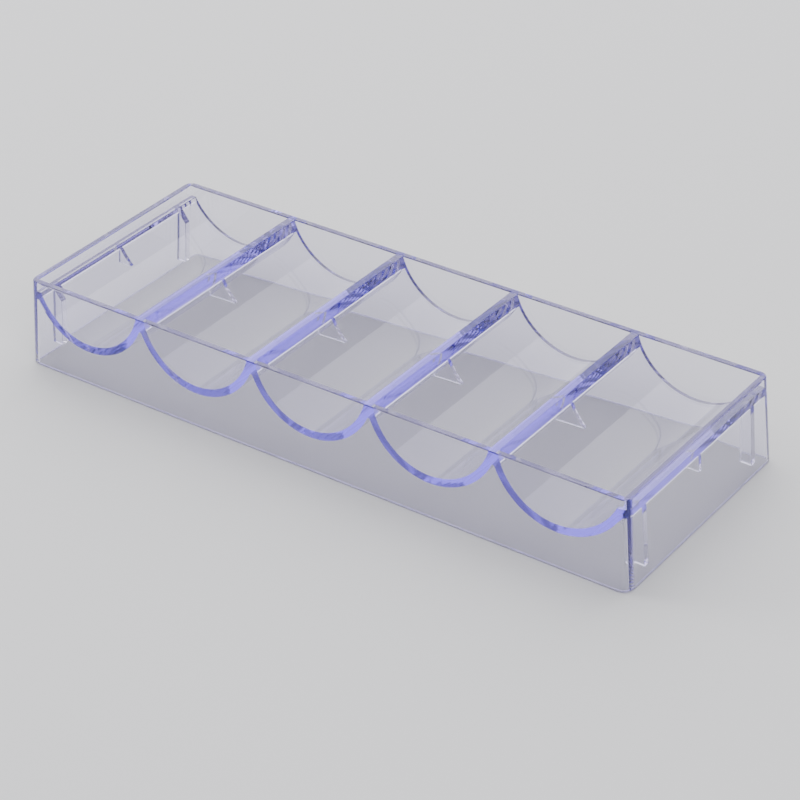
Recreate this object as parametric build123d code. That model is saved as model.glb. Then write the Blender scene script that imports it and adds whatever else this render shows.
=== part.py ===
from build123d import *
import math
import os

# Five-row poker chip tray: an open-topped, open-bottomed clear moulding.
# Units are millimetres. +X runs along the row of troughs, +Y to the rear, +Z up.
# The origin is at the centre of the footprint, on the surface that the tray stands on.

# ---- driving dimensions ----
LENGTH = 205.8              # over the base of the end walls
WIDTH = 75.8                # over the base of the front and rear walls
HEIGHT = 27.4
WALL = 2.0
DRAFT_INSET = 1.8           # how far each face leans in from base to rim
CORNER_BASE_RADIUS = 3.6    # outer corners at the base
CORNER_RIM_RADIUS = 2.7     # and at the rim
INNER_BASE_RADIUS = 1.2     # inner corners at the base
INNER_RIM_RADIUS = 0.3      # and at the rim, where they are nearly sharp

TROUGH_COUNT = 5
TROUGH_PITCH = 40.0         # centre to centre
TROUGH_RADIUS = 19.2        # inside face of each trough, for chips 38 mm across
SHELL = 2.3                 # thickness of the trough shells
TROUGH_FLOOR = 12.4         # lowest point of the inside face above the base

RIDGE_TOP = 27.0            # the ridges stop a little below the rim
RIDGE_END_RUN = 2.2         # length over which each end of a ridge slopes up to the rim
RIDGE_ROOT_WIDTH = 0.7      # flat at the top of the groove under each ridge
SHOULDER_TOP = 23.8         # ledges along the inside of the end walls
SHOULDER_ROOT = 21.2        # top of the groove under each ledge

WEB_THICKNESS = 1.2         # gusset webs at mid depth
WEB_BOTTOM = 16.2

PEG_BOTTOM = 3.2
PEG_FOOT_X = 97.0           # free side of each peg at its foot; the peg runs from here to the end wall
PEG_TOP_X = 96.2            # the same side where the peg meets the ledge
PEG_Y = 26.5                # inner face of each peg
PEG_THICKNESS = 2.0

# ---- derived places ----
AXIS_HEIGHT = TROUGH_FLOOR + TROUGH_RADIUS
OUTER_RADIUS = TROUGH_RADIUS + SHELL
HALF_LENGTH = LENGTH / 2
HALF_WIDTH = WIDTH / 2
TROUGH_CENTRES = [TROUGH_PITCH * (i - (TROUGH_COUNT - 1) / 2) for i in range(TROUGH_COUNT)]
RIDGE_CENTRES = [x + TROUGH_PITCH / 2 for x in TROUGH_CENTRES[:-1]]
LAST_TROUGH = TROUGH_CENTRES[-1]


def arc_half_width(height):
    """Half the width of a trough's inside face at a height above the base."""
    return math.sqrt(TROUGH_RADIUS ** 2 - (AXIS_HEIGHT - height) ** 2)


TROUGH_HALF = arc_half_width(RIDGE_TOP)
TROUGH_HALF_AT_END = arc_half_width(SHOULDER_TOP)
RIDGE_HALF = TROUGH_PITCH / 2 - TROUGH_HALF


def frustum(length, width, base_radius, rim_radius):
    """A drafted block from the base to the rim, with rounded corners that narrow upwards."""
    base = RectangleRounded(length, width, base_radius)
    rim = RectangleRounded(length - 2 * DRAFT_INSET, width - 2 * DRAFT_INSET, rim_radius)
    return loft([base, Pos(0, 0, HEIGHT) * rim], ruled=True)


def block(x_low, x_high, y_low, y_high, z_low, z_high):
    """A plain box between two corners."""
    size = (x_high - x_low, y_high - y_low, z_high - z_low)
    middle = ((x_low + x_high) / 2, (y_low + y_high) / 2, (z_low + z_high) / 2)
    return Pos(*middle) * Box(*size)


def slab(x_low, x_high, z_low, z_high):
    """A box that runs the whole depth of the tray."""
    return block(x_low, x_high, -HALF_WIDTH, HALF_WIDTH, z_low, z_high)


def roller(x_centre, radius):
    """A cylinder on a trough's axis, longer than the tray is deep."""
    return Pos(x_centre, 0, AXIS_HEIGHT) * Rot(90, 0, 0) * Cylinder(radius, 2 * WIDTH)


def wedge(corners):
    """An upright prism through the given plan corners."""
    return extrude(make_face(Polyline(*corners, close=True)), amount=HEIGHT)


OUTSIDE = frustum(LENGTH, WIDTH, CORNER_BASE_RADIUS, CORNER_RIM_RADIUS)
INSIDE = frustum(LENGTH - 2 * WALL, WIDTH - 2 * WALL, INNER_BASE_RADIUS, INNER_RIM_RADIUS)


def skirt_walls():
    """The four drafted walls, mitred at the corners."""
    ring = OUTSIDE - INSIDE
    inner_end = HALF_LENGTH - HALF_WIDTH
    front = [(-HALF_LENGTH, -HALF_WIDTH), (HALF_LENGTH, -HALF_WIDTH), (inner_end, 0), (-inner_end, 0)]
    right = [(HALF_LENGTH, -HALF_WIDTH), (HALF_LENGTH, HALF_WIDTH), (inner_end, 0)]
    rear = [(x, -y) for x, y in front]
    left = [(-x, y) for x, y in right]
    plans = {"front_wall": front, "rear_wall": rear, "left_end_wall": left, "right_end_wall": right}
    return {name: ring & wedge(plan) for name, plan in plans.items()}


def chip_trough(index):
    """One curved shell, open at the top, that a row of chips lies in."""
    centre = TROUGH_CENTRES[index]
    left_half = TROUGH_HALF_AT_END if index == 0 else TROUGH_HALF
    right_half = TROUGH_HALF_AT_END if index == TROUGH_COUNT - 1 else TROUGH_HALF
    shell = roller(centre, OUTER_RADIUS) - roller(centre, TROUGH_RADIUS)
    return shell & INSIDE & slab(centre - left_half, centre + right_half, 0, RIDGE_TOP)


def ridge_root_height():
    """Height of the flat at the head of the groove under a ridge."""
    reach = TROUGH_PITCH / 2 - RIDGE_ROOT_WIDTH / 2
    return AXIS_HEIGHT - math.sqrt(OUTER_RADIUS ** 2 - reach ** 2)


def ridge_bar(centre):
    """A bar whose top is level, then slopes up to the rim at the front and the rear."""
    rim_y = HALF_WIDTH - DRAFT_INSET - WALL
    level_y = rim_y - RIDGE_END_RUN
    rear_half = [(HALF_WIDTH, 0), (HALF_WIDTH, HEIGHT), (rim_y, HEIGHT), (level_y, RIDGE_TOP)]
    front_half = [(-y, z) for y, z in reversed(rear_half)]
    side_view = Plane.YZ * make_face(Polyline(*rear_half, *front_half, close=True))
    return Pos(centre, 0, 0) * extrude(side_view, amount=RIDGE_HALF, both=True)


def divider_ridge(centre):
    """The bar between two troughs, with the head of the groove cut in its underside."""
    left, right = centre - TROUGH_PITCH / 2, centre + TROUGH_PITCH / 2
    half_root = RIDGE_ROOT_WIDTH / 2
    shells = roller(left, OUTER_RADIUS) + roller(right, OUTER_RADIUS)
    root = slab(centre - half_root, centre + half_root, ridge_root_height(), HEIGHT)
    ridge = ridge_bar(centre) & (shells + root) & INSIDE
    return ridge - roller(left, TROUGH_RADIUS) - roller(right, TROUGH_RADIUS)


def right_end_shoulder():
    """The ledge that joins the last trough to the end wall."""
    ledge = slab(LAST_TROUGH + TROUGH_HALF_AT_END, HALF_LENGTH, 0, SHOULDER_TOP)
    root = slab(LAST_TROUGH, HALF_LENGTH, SHOULDER_ROOT, SHOULDER_TOP)
    return ledge & (roller(LAST_TROUGH, OUTER_RADIUS) + root) & INSIDE


def ridge_gusset(centre):
    """A thin web across the groove under a ridge, halfway from front to rear."""
    half = WEB_THICKNESS / 2
    reach = TROUGH_PITCH / 2
    web = block(centre - reach, centre + reach, -half, half, WEB_BOTTOM, ridge_root_height())
    return web - roller(centre - reach, OUTER_RADIUS) - roller(centre + reach, OUTER_RADIUS)


def right_end_gusset():
    """The half web under the end ledge."""
    half = WEB_THICKNESS / 2
    web = block(LAST_TROUGH, HALF_LENGTH, -half, half, WEB_BOTTOM, SHOULDER_ROOT)
    return (web - roller(LAST_TROUGH, OUTER_RADIUS)) & INSIDE


def corner_peg():
    """A flat bar in the rear right corner that narrows from the ledge down to its foot."""
    free_side = [(PEG_TOP_X, SHOULDER_ROOT), (PEG_FOOT_X, PEG_BOTTOM)]
    wall_side = [(HALF_LENGTH, PEG_BOTTOM), (HALF_LENGTH, SHOULDER_ROOT)]
    front_view = Plane.XZ * make_face(Polyline(*free_side, *wall_side, close=True))
    bar = Pos(0, PEG_Y + PEG_THICKNESS / 2, 0) * extrude(front_view, amount=PEG_THICKNESS / 2, both=True)
    return (bar - roller(LAST_TROUGH, OUTER_RADIUS)) & INSIDE


def mirrored_x(shape):
    """The same piece at the left end."""
    return mirror(shape, about=Plane.YZ)


def mirrored_y(shape):
    """The same piece at the front."""
    return mirror(shape, about=Plane.XZ)


parts = skirt_walls()
for index in range(TROUGH_COUNT):
    parts[f"chip_trough_{index + 1}"] = chip_trough(index)
for index, centre in enumerate(RIDGE_CENTRES):
    parts[f"divider_ridge_{index + 1}"] = divider_ridge(centre)
    parts[f"ridge_gusset_{index + 1}"] = ridge_gusset(centre)
parts["right_end_shoulder"] = right_end_shoulder()
parts["left_end_shoulder"] = mirrored_x(right_end_shoulder())
parts["right_end_gusset"] = right_end_gusset()
parts["left_end_gusset"] = mirrored_x(right_end_gusset())
parts["peg_rear_right"] = corner_peg()
parts["peg_front_right"] = mirrored_y(corner_peg())
parts["peg_rear_left"] = mirrored_x(corner_peg())
parts["peg_front_left"] = Rot(0, 0, 180) * corner_peg()

os.makedirs("parts", exist_ok=True)
for name, shape in parts.items():
    export_step(shape, f"parts/{name}.step")
    print(name, round(shape.volume, 1))
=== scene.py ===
import math

import bmesh
import bpy
from mathutils import Matrix, Vector


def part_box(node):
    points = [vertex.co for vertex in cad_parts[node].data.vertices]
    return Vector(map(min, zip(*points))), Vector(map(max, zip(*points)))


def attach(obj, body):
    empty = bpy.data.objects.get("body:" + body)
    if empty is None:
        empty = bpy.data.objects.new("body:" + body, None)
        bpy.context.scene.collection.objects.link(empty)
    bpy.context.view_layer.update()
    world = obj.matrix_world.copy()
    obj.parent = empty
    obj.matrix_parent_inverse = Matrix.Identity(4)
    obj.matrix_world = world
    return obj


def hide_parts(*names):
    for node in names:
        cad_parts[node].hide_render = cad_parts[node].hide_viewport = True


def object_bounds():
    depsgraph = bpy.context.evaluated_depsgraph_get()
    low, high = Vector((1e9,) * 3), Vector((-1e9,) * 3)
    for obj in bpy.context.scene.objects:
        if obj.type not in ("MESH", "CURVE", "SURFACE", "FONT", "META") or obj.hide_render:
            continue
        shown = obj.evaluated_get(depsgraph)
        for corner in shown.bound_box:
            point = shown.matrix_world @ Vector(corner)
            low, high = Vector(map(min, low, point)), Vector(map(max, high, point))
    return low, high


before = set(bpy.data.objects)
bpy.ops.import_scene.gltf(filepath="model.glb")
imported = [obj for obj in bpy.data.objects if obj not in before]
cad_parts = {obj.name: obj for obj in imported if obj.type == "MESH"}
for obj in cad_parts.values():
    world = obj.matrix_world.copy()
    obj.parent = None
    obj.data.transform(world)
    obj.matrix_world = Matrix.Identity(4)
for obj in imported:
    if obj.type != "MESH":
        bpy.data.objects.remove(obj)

CAD_LOW, CAD_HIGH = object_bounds()
MM = 0.001

# ---- small sizes that the frame doesn't hold, in metres ----
RIM_ROUND = 0.40 * MM           # rounding along the rim and the foot of the skirt
RIDGE_ROUND = 0.35 * MM         # rounding of the ridges' and ledges' top corners
RIDGE_END_RUN = 2.2 * MM        # length over which each end of a ridge curves up to the rim
GROOVE_FILLET = 0.25 * MM       # fillet at the head of each groove
WEB_ROUND = 0.20 * MM           # rounding of the gusset webs' free edge
PEG_ROUND = 0.20 * MM           # rounding of the pegs' free edges
OUTER_BASE_RADIUS = 3.6 * MM    # the skirt's upright outer corners, at the base
OUTER_RIM_RADIUS = 2.7 * MM     # and at the rim
INNER_BASE_RADIUS = 1.2 * MM    # its inner corners, at the base
INNER_RIM_RADIUS = 0.3 * MM     # and at the rim, where they are nearly sharp
PEG_TAPER = 0.65 * MM           # how much narrower each peg is at its foot
ARC_STEPS = 72                  # segments across each trough arc
SIDE_STEPS = 12                 # segments along the side of each gusset web
RISE_STEPS = 8                  # segments along the slope at each end of a ridge
ROUND_STEPS = 4                 # segments in each small rounding
CORNER_STEPS = 12               # segments in each upright corner
SHARP_ANGLE = math.radians(35)  # a fold sharper than this stays a crisp line
WELD = 0.001 * MM               # points closer than this are welded after the union
TINY = 0.0001 * MM              # an edge shorter than this has no length
NEAR = 0.01 * MM                # room for error when an edge is looked for by its place

# ---- how far the parts run into each other before they are joined ----
RISE_INTO_RIM = 0.75            # how far a ridge's slope runs into the rim, in radii of its rounding
RISE_BELOW_RIM = 0.12           # how far it stays below the rim's top there, in the same radii
TROUGHS_INTO_WALL = 0.6         # how far the troughs run into the walls, in wall thicknesses
WEB_BELOW_RIDGE = 3             # a web's top below the ridge's top, in radii of the ridge's rounding

# ---- camera, with angles in degrees ----
CAMERA_AZIMUTH = 36.985
CAMERA_ELEVATION = 32.661
CAMERA_ROLL = -1.906
CAMERA_TARGET = (28.931 * MM, -32.998 * MM, 30.56 * MM)
CAMERA_DISTANCE = 681.6 * MM
CAMERA_LENS = 116.56            # focal length in mm, for Blender's 36 mm wide sensor

# ---- floor and light, in metres and watts ----
FLOOR_SIZE = 3.0
SOFTBOXES = {
    "key_light": {"place": (-0.35, 0.75, 0.95), "side": 2.0, "power": 20},
    "left_light": {"place": (-1.0, -0.3, 0.6), "side": 0.5, "power": 4.5},
    "right_light": {"place": (0.9, -0.5, 0.8), "side": 0.5, "power": 3.5},
}
ROOM_COLOUR = (0.96, 0.96, 1.0, 1)
ROOM_BRIGHTNESS = 0.7
LIGHT_BOUNCES = 32              # how often light may bounce inside the plastic


# ---- sizes worked out from the frame ----
def arc_radius(half_chord, rise):
    """Radius of an arc from half its chord and its height over the chord."""
    return (half_chord ** 2 + rise ** 2) / (2 * rise)


trough_low, trough_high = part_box("chip_trough_3")
ridge_low, ridge_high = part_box("divider_ridge_3")
web_low, web_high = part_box("ridge_gusset_3")
_, ledge_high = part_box("right_end_shoulder")
_, end_web_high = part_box("right_end_gusset")
peg_low, peg_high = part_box("peg_rear_right")

HALF_LENGTH = CAD_HIGH.x
HALF_WIDTH = CAD_HIGH.y
HEIGHT = CAD_HIGH.z
LEAN = (trough_high.y - ridge_high.y) / (ridge_low.z - trough_low.z)  # how far in a wall leans, by height
WALL = HALF_WIDTH - (trough_high.y + LEAN * trough_low.z)
PITCH = ridge_low.x + ridge_high.x
TROUGH_CENTRES = [PITCH * step for step in (-2, -1, 0, 1, 2)]
RIDGE_CENTRES = [PITCH * step for step in (-1.5, -0.5, 0.5, 1.5)]
OUTER_RADIUS = arc_radius(PITCH / 2 - (web_high.x - web_low.x) / 2, web_low.z - trough_low.z)
AXIS_HEIGHT = trough_low.z + OUTER_RADIUS
INNER_RADIUS = math.hypot(trough_high.x, AXIS_HEIGHT - trough_high.z)
MIDDLE_RADIUS = (INNER_RADIUS + OUTER_RADIUS) / 2
RIDGE_TOP = ridge_high.z
GROOVE_TOP = web_high.z
LEDGE_TOP = ledge_high.z
LEDGE_GROOVE_TOP = end_web_high.z
MID_LEDGE = (LEDGE_TOP + LEDGE_GROOVE_TOP) / 2
WEB_BOTTOM = web_low.z
PEG_BOTTOM = peg_low.z


# ---- outlines ----
def rounded(corners):
    """A closed outline from (point, radius) pairs, with an arc at each corner that has a radius."""
    outline = []
    for index, (point, radius) in enumerate(corners):
        here = Vector(point)
        if radius == 0:
            outline.append(here)
            continue
        before = (Vector(corners[index - 1][0]) - here).normalized()
        after = (Vector(corners[(index + 1) % len(corners)][0]) - here).normalized()
        half_angle = before.angle(after) / 2
        centre = here + (before + after).normalized() * radius / math.sin(half_angle)
        start = here + before * radius / math.tan(half_angle) - centre
        sweep = math.pi - 2 * half_angle
        turn = 1 if start.x * (here - centre).y - start.y * (here - centre).x > 0 else -1
        for step in range(ROUND_STEPS + 1):
            outline.append(centre + Matrix.Rotation(turn * sweep * step / ROUND_STEPS, 2) @ start)
    return outline


def arc_angle(radius, height):
    """The angle from straight down at which a trough arc reaches a height."""
    return math.acos((AXIS_HEIGHT - height) / radius)


def arc_points(centre, radius, start, stop, steps):
    """Points of a trough arc between two angles from straight down."""
    angles = [start + (stop - start) * step / steps for step in range(steps + 1)]
    return [(centre + radius * math.sin(a), AXIS_HEIGHT - radius * math.cos(a)) for a in angles]


def trough_arc(centre, radius, left_height, right_height):
    """Points of a whole trough arc, from its left end to its right end."""
    start, stop = -arc_angle(radius, left_height), arc_angle(radius, right_height)
    return arc_points(centre, radius, start, stop, ARC_STEPS)


def shell_side(centre, bottom, top):
    """The right-hand part of a shell's middle line, from a low height to a high one."""
    start, stop = arc_angle(MIDDLE_RADIUS, bottom), arc_angle(MIDDLE_RADIUS, top)
    return arc_points(centre, MIDDLE_RADIUS, start, stop, SIDE_STEPS)


def shell_height(x):
    """Height of the last shell's middle line at a place along the tray."""
    return AXIS_HEIGHT - math.sqrt(MIDDLE_RADIUS ** 2 - (x - TROUGH_CENTRES[-1]) ** 2)


def mid_wall(height):
    """Place along the tray of the middle of the right end wall, at a height."""
    return HALF_LENGTH - WALL / 2 - LEAN * height


def corner_points(arc, radius):
    """The points of an arc as outline corners, with a rounding at each end."""
    return [(arc[0], radius)] + [(point, 0) for point in arc[1:-1]] + [(arc[-1], radius)]


def trough_profile(reach, ridge_top):
    """Section of troughs, ridges and ledges on the XZ plane, out to reach at both ends."""
    top = [((-reach, LEDGE_TOP), 0)]
    under = [((-reach, LEDGE_GROOVE_TOP), 0)]
    for index, centre in enumerate(TROUGH_CENTRES):
        first, last = index == 0, index == len(TROUGH_CENTRES) - 1
        left_top, left_under = (LEDGE_TOP, LEDGE_GROOVE_TOP) if first else (ridge_top, GROOVE_TOP)
        right_top, right_under = (LEDGE_TOP, LEDGE_GROOVE_TOP) if last else (ridge_top, GROOVE_TOP)
        top += corner_points(trough_arc(centre, INNER_RADIUS, left_top, right_top), RIDGE_ROUND)
        under += corner_points(trough_arc(centre, OUTER_RADIUS, left_under, right_under), GROOVE_FILLET)
    top.append(((reach, LEDGE_TOP), 0))
    under.append(((reach, LEDGE_GROOVE_TOP), 0))
    return rounded(top + under[::-1])


# ---- meshes ----
def new_piece(name, mesh_or_bmesh):
    """An object of that name from a mesh or a bmesh, in the scene's collection."""
    mesh = mesh_or_bmesh
    if isinstance(mesh, bmesh.types.BMesh):
        mesh = bpy.data.meshes.new(name)
        bmesh.ops.recalc_face_normals(mesh_or_bmesh, faces=mesh_or_bmesh.faces)
        mesh_or_bmesh.to_mesh(mesh)
        mesh_or_bmesh.free()
    piece = bpy.data.objects.new(name, mesh)
    bpy.context.scene.collection.objects.link(piece)
    return piece


def bridged(rings):
    """A bmesh of closed rings of equal length, joined in order."""
    solid = bmesh.new()
    loops = [[solid.verts.new(point) for point in ring] for ring in rings]
    for one, two in zip(loops, loops[1:]):
        for index in range(len(one)):
            after = (index + 1) % len(one)
            solid.faces.new((one[index], one[after], two[after], two[index]))
    return solid, loops


def prism(rings):
    """A closed solid between a first and a last ring."""
    solid, loops = bridged(rings)
    solid.faces.new(loops[0])
    solid.faces.new(loops[-1])
    return solid


def rounded_rectangle(half_x, half_y, radius, height):
    """A level ring of points, starting at the right rear corner."""
    ring = []
    for quarter, (sign_x, sign_y) in enumerate(((1, 1), (-1, 1), (-1, -1), (1, -1))):
        for step in range(CORNER_STEPS + 1):
            angle = math.pi / 2 * (quarter + step / CORNER_STEPS)
            x = sign_x * (half_x - radius) + radius * math.cos(angle)
            y = sign_y * (half_y - radius) + radius * math.sin(angle)
            ring.append((x, y, height))
    return ring


def corner_radius(depth, height):
    """Radius of the upright corners. Both places run from 0 to 1: outside to inside, base to rim."""
    outer = OUTER_BASE_RADIUS + (OUTER_RIM_RADIUS - OUTER_BASE_RADIUS) * height
    inner = INNER_BASE_RADIUS + (INNER_RIM_RADIUS - INNER_BASE_RADIUS) * height
    return outer + (inner - outer) * depth


def skirt():
    """The four drafted walls as one ring, rounded along the rim and the foot."""
    section = rounded([
        ((0, 0), RIM_ROUND),
        ((0, HEIGHT), RIM_ROUND),
        ((WALL, HEIGHT), RIM_ROUND),
        ((WALL, 0), RIM_ROUND),
    ])
    rings = []
    for depth, height in section:
        inset = depth + LEAN * height
        radius = corner_radius(depth / WALL, height / HEIGHT)
        rings.append(rounded_rectangle(HALF_LENGTH - inset, HALF_WIDTH - inset, radius, height))
    solid, _ = bridged(rings + rings[:1])
    bmesh.ops.remove_doubles(solid, verts=solid.verts, dist=TINY)
    return new_piece("skirt", solid)


def ridge_depths():
    """Depths from mid tray to inside the rear wall, with the height of the ridges at each one."""
    rim_face = HALF_WIDTH - WALL - LEAN * HEIGHT
    foot = rim_face - RIDGE_END_RUN
    run = RIDGE_END_RUN + RIM_ROUND * RISE_INTO_RIM
    rise = HEIGHT - RIM_ROUND * RISE_BELOW_RIM - RIDGE_TOP
    stations = []
    for step in range(RISE_STEPS + 1):
        part = step / RISE_STEPS
        ease = part * part * (3 - 2 * part)
        stations.append((foot + run * part, RIDGE_TOP + rise * ease))
    return stations + [(rim_face + WALL * TROUGHS_INTO_WALL, RIDGE_TOP + rise)]


def trough_body():
    """Troughs, ridges and ledges, running a little way into the walls all round."""
    reach = mid_wall(LEDGE_TOP)
    rear = ridge_depths()
    stations = [(-y, top) for y, top in rear[::-1]] + rear
    sections = [[(x, y, z) for x, z in trough_profile(reach, top)] for y, top in stations]
    return new_piece("troughs", prism(sections))


def bevelled(piece, width, chosen):
    """Rounds the piece's edges that the test picks."""
    solid = bmesh.new()
    solid.from_mesh(piece.data)
    edges = [edge for edge in solid.edges if chosen(edge)]
    bmesh.ops.bevel(solid, geom=edges, offset=width, segments=3, profile=0.5, affect="EDGES")
    solid.to_mesh(piece.data)
    solid.free()
    return piece


def is_foot(edge, bottom):
    """Whether an edge lies along the foot of a web or a peg."""
    return all(vertex.co.z < bottom + NEAR for vertex in edge.verts)


def is_free_side(edge, foot_x):
    """Whether an edge lies along the upright side of the peg that faces the middle of the tray."""
    return all(vertex.co.x < foot_x + NEAR for vertex in edge.verts)


def upright(name, outline, y_low, y_high):
    """A closed solid with that outline on the XZ plane, between two depths."""
    return new_piece(name, prism([[(x, y, z) for x, z in outline] for y in (y_low, y_high)]))


def gusset_web(outline):
    """A thin web at mid depth, rounded along its foot."""
    web = upright("web", outline, web_low.y, web_high.y)
    return bevelled(web, WEB_ROUND, lambda edge: is_foot(edge, WEB_BOTTOM))


def ridge_web(centre):
    """The web under a ridge, running up into the shells on both sides."""
    side = shell_side(centre - PITCH / 2, WEB_BOTTOM, RIDGE_TOP - RIDGE_ROUND * WEB_BELOW_RIDGE)
    return gusset_web(side + [(2 * centre - x, z) for x, z in side[::-1]])


def end_web():
    """The half web under the right end's ledge."""
    side = shell_side(TROUGH_CENTRES[-1], WEB_BOTTOM, MID_LEDGE)
    return gusset_web(side + [(mid_wall(MID_LEDGE), MID_LEDGE), (mid_wall(WEB_BOTTOM), WEB_BOTTOM)])


def corner_peg():
    """The flat bar of the rear right corner, running up into the shell and the ledge above it."""
    foot_x = peg_low.x + PEG_TAPER
    outline = [(foot_x, PEG_BOTTOM)] + shell_side(TROUGH_CENTRES[-1], shell_height(peg_low.x), MID_LEDGE)
    outline += [(mid_wall(MID_LEDGE), MID_LEDGE), (mid_wall(PEG_BOTTOM), PEG_BOTTOM)]
    peg = upright("peg", outline, peg_low.y, peg_high.y)
    return bevelled(peg, PEG_ROUND, lambda edge: is_foot(edge, PEG_BOTTOM) or is_free_side(edge, foot_x))


def mirrored(piece, flip_x, flip_y):
    """A copy of the piece at another corner or end."""
    solid = bmesh.new()
    solid.from_mesh(piece.data)
    bmesh.ops.scale(solid, verts=solid.verts, vec=(-1 if flip_x else 1, -1 if flip_y else 1, 1))
    return new_piece(piece.name, solid)


def united(body, others):
    """One closed mesh from overlapping solids. The solids are used up."""
    for other in others:
        union = body.modifiers.new("union", "BOOLEAN")
        union.operation = "UNION"
        union.solver = "EXACT"
        union.object = other
    depsgraph = bpy.context.evaluated_depsgraph_get()
    mesh = bpy.data.meshes.new_from_object(body.evaluated_get(depsgraph))
    for used in [body] + others:
        bpy.data.objects.remove(used)
    return mesh


def tray_mesh():
    """The whole moulding as one closed mesh."""
    right_web = end_web()
    peg = corner_peg()
    webs = [ridge_web(centre) for centre in RIDGE_CENTRES] + [right_web, mirrored(right_web, True, False)]
    pegs = [peg, mirrored(peg, True, False), mirrored(peg, False, True), mirrored(peg, True, True)]
    return united(skirt(), [trough_body()] + webs + pegs)


def cleaned(mesh):
    """Welds the union's seams, drops points where only two edges meet and checks that it is closed."""
    solid = bmesh.new()
    solid.from_mesh(mesh)
    bmesh.ops.remove_doubles(solid, verts=solid.verts, dist=WELD)
    bmesh.ops.dissolve_degenerate(solid, edges=solid.edges, dist=TINY)
    spare_points = [vertex for vertex in solid.verts if len(vertex.link_edges) == 2]
    bmesh.ops.dissolve_verts(solid, verts=spare_points)
    bmesh.ops.recalc_face_normals(solid, faces=solid.faces)
    open_edges = [edge for edge in solid.edges if len(edge.link_faces) != 2]
    if open_edges:
        raise RuntimeError(f"the tray's mesh has {len(open_edges)} open edges")
    for edge in solid.edges:
        edge.smooth = edge.calc_face_angle() < SHARP_ANGLE
    for face in solid.faces:
        face.smooth = True
    solid.to_mesh(mesh)
    solid.free()
    return mesh


# ---- materials ----
def node_material(name):
    """A new node material, with its tree and its Principled node."""
    material = bpy.data.materials.new(name)
    material.use_nodes = True
    tree = material.node_tree
    return material, tree, tree.nodes["Principled BSDF"]


def noise(tree, coordinates, scale, detail):
    """A noise texture over the object's own coordinates."""
    texture = tree.nodes.new("ShaderNodeTexNoise")
    texture.inputs["Scale"].default_value = scale
    texture.inputs["Detail"].default_value = detail
    tree.links.new(coordinates, texture.inputs["Vector"])
    return texture.outputs["Fac"]


def ramp(tree, value, low, high):
    """Maps 0..1 to low..high."""
    mapped = tree.nodes.new("ShaderNodeMapRange")
    mapped.inputs["To Min"].default_value = low
    mapped.inputs["To Max"].default_value = high
    tree.links.new(value, mapped.inputs["Value"])
    return mapped.outputs["Result"]


def clear_plastic():
    """Polished clear plastic with a faint violet tint, handling haze and moulding ripple."""
    material, tree, shader = node_material("clear_violet_plastic")
    shader.inputs["Base Color"].default_value = (0.97, 0.97, 1.0, 1)
    shader.inputs["Transmission Weight"].default_value = 1.0
    shader.inputs["IOR"].default_value = 1.57
    place = tree.nodes.new("ShaderNodeTexCoord").outputs["Object"]
    haze = noise(tree, place, scale=60, detail=5)
    tree.links.new(ramp(tree, haze, low=0.0, high=0.05), shader.inputs["Roughness"])
    ripple = tree.nodes.new("ShaderNodeBump")
    ripple.inputs["Strength"].default_value = 0.03
    ripple.inputs["Distance"].default_value = 0.2 * MM
    tree.links.new(noise(tree, place, scale=90, detail=2), ripple.inputs["Height"])
    tree.links.new(ripple.outputs["Normal"], shader.inputs["Normal"])
    tint = tree.nodes.new("ShaderNodeVolumeAbsorption")
    tint.inputs["Color"].default_value = (0.24, 0.08, 0.91, 1)
    tint.inputs["Density"].default_value = 27.0
    output = tree.nodes["Material Output"]
    tree.links.new(tint.outputs["Volume"], output.inputs["Volume"])
    return material


def floor_paint():
    """Plain pale matt floor whose gloss varies a little."""
    material, tree, shader = node_material("pale_floor")
    shader.inputs["Base Color"].default_value = (0.86, 0.86, 0.87, 1)
    place = tree.nodes.new("ShaderNodeTexCoord").outputs["Object"]
    mottle = noise(tree, place, scale=8, detail=3)
    tree.links.new(ramp(tree, mottle, low=0.55, high=0.7), shader.inputs["Roughness"])
    return material


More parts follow.
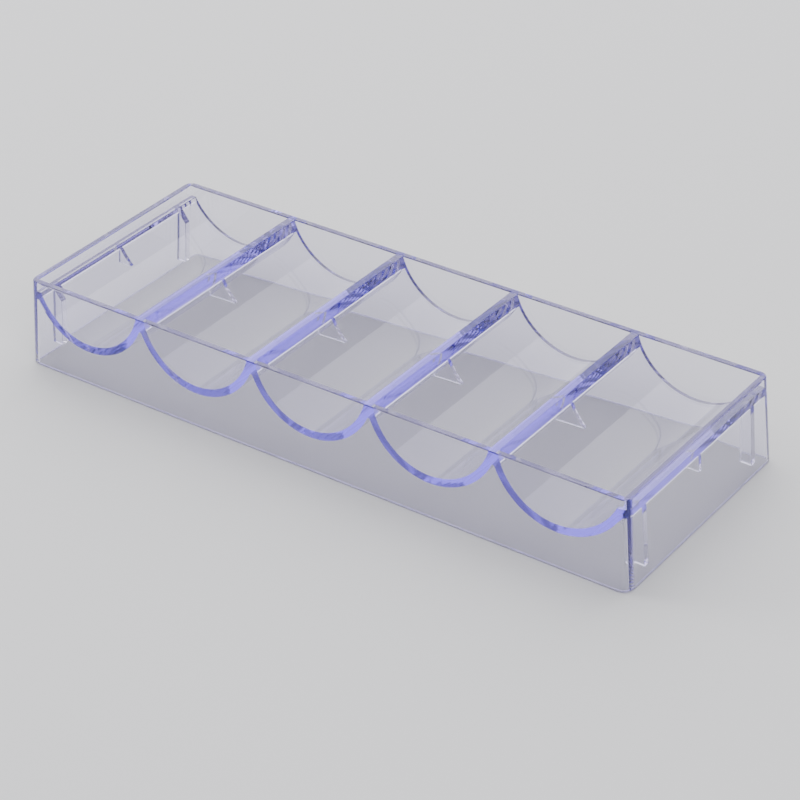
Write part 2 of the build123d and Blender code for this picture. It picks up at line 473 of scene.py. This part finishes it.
# ---- the tray ----
tray = new_piece("tray_moulding", cleaned(tray_mesh()))
normals = tray.modifiers.new("weighted_normals", "WEIGHTED_NORMAL")
normals.keep_sharp = True
tray.data.materials.append(clear_plastic())
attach(tray, "root")
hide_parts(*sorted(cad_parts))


# ---- floor, camera and light ----
def floor():
    """A large plain floor that the tray stands on."""
    plane = bmesh.new()
    bmesh.ops.create_grid(plane, x_segments=1, y_segments=1, size=FLOOR_SIZE)
    piece = new_piece("floor", plane)
    piece.data.materials.append(floor_paint())


def camera():
    """Above the front right corner, looking down on the tray, rolled a little."""
    azimuth, elevation = math.radians(CAMERA_AZIMUTH), math.radians(CAMERA_ELEVATION)
    level = math.cos(elevation)
    back = Vector((math.sin(azimuth) * level, -math.cos(azimuth) * level, math.sin(elevation)))
    level_right = Vector((0, 0, 1)).cross(back).normalized()
    right = Matrix.Rotation(math.radians(CAMERA_ROLL), 3, back) @ level_right
    axes = Matrix((right, back.cross(right), back)).transposed()
    data = bpy.data.cameras.new("camera")
    data.lens = CAMERA_LENS
    data.clip_start = 10 * MM
    eye = bpy.data.objects.new("camera", data)
    place = Vector(CAMERA_TARGET) + back * CAMERA_DISTANCE
    eye.matrix_world = Matrix.Translation(place) @ axes.to_4x4()
    bpy.context.scene.collection.objects.link(eye)
    bpy.context.scene.camera = eye


def softbox(name, place, side, power):
    """A square area light that faces the tray."""
    data = bpy.data.lights.new(name, "AREA")
    data.size = side
    data.energy = power
    lamp = bpy.data.objects.new(name, data)
    lamp.location = place
    lamp.rotation_euler = (-Vector(place)).to_track_quat("-Z", "Y").to_euler()
    bpy.context.scene.collection.objects.link(lamp)


def soft_light():
    """A large softbox behind and above, a smaller one at each side, and a bright room all round."""
    for name, box in SOFTBOXES.items():
        softbox(name, **box)
    world = bpy.data.worlds.new("room")
    world.use_nodes = True
    background = world.node_tree.nodes["Background"]
    background.inputs["Color"].default_value = ROOM_COLOUR
    background.inputs["Strength"].default_value = ROOM_BRIGHTNESS
    bpy.context.scene.world = world


def long_light_paths():
    """Lets light run far along inside the clear walls before it leaves them."""
    paths = bpy.context.scene.cycles
    paths.max_bounces = LIGHT_BOUNCES
    paths.transmission_bounces = LIGHT_BOUNCES
    paths.glossy_bounces = LIGHT_BOUNCES


floor()
camera()
soft_light()
long_light_paths()
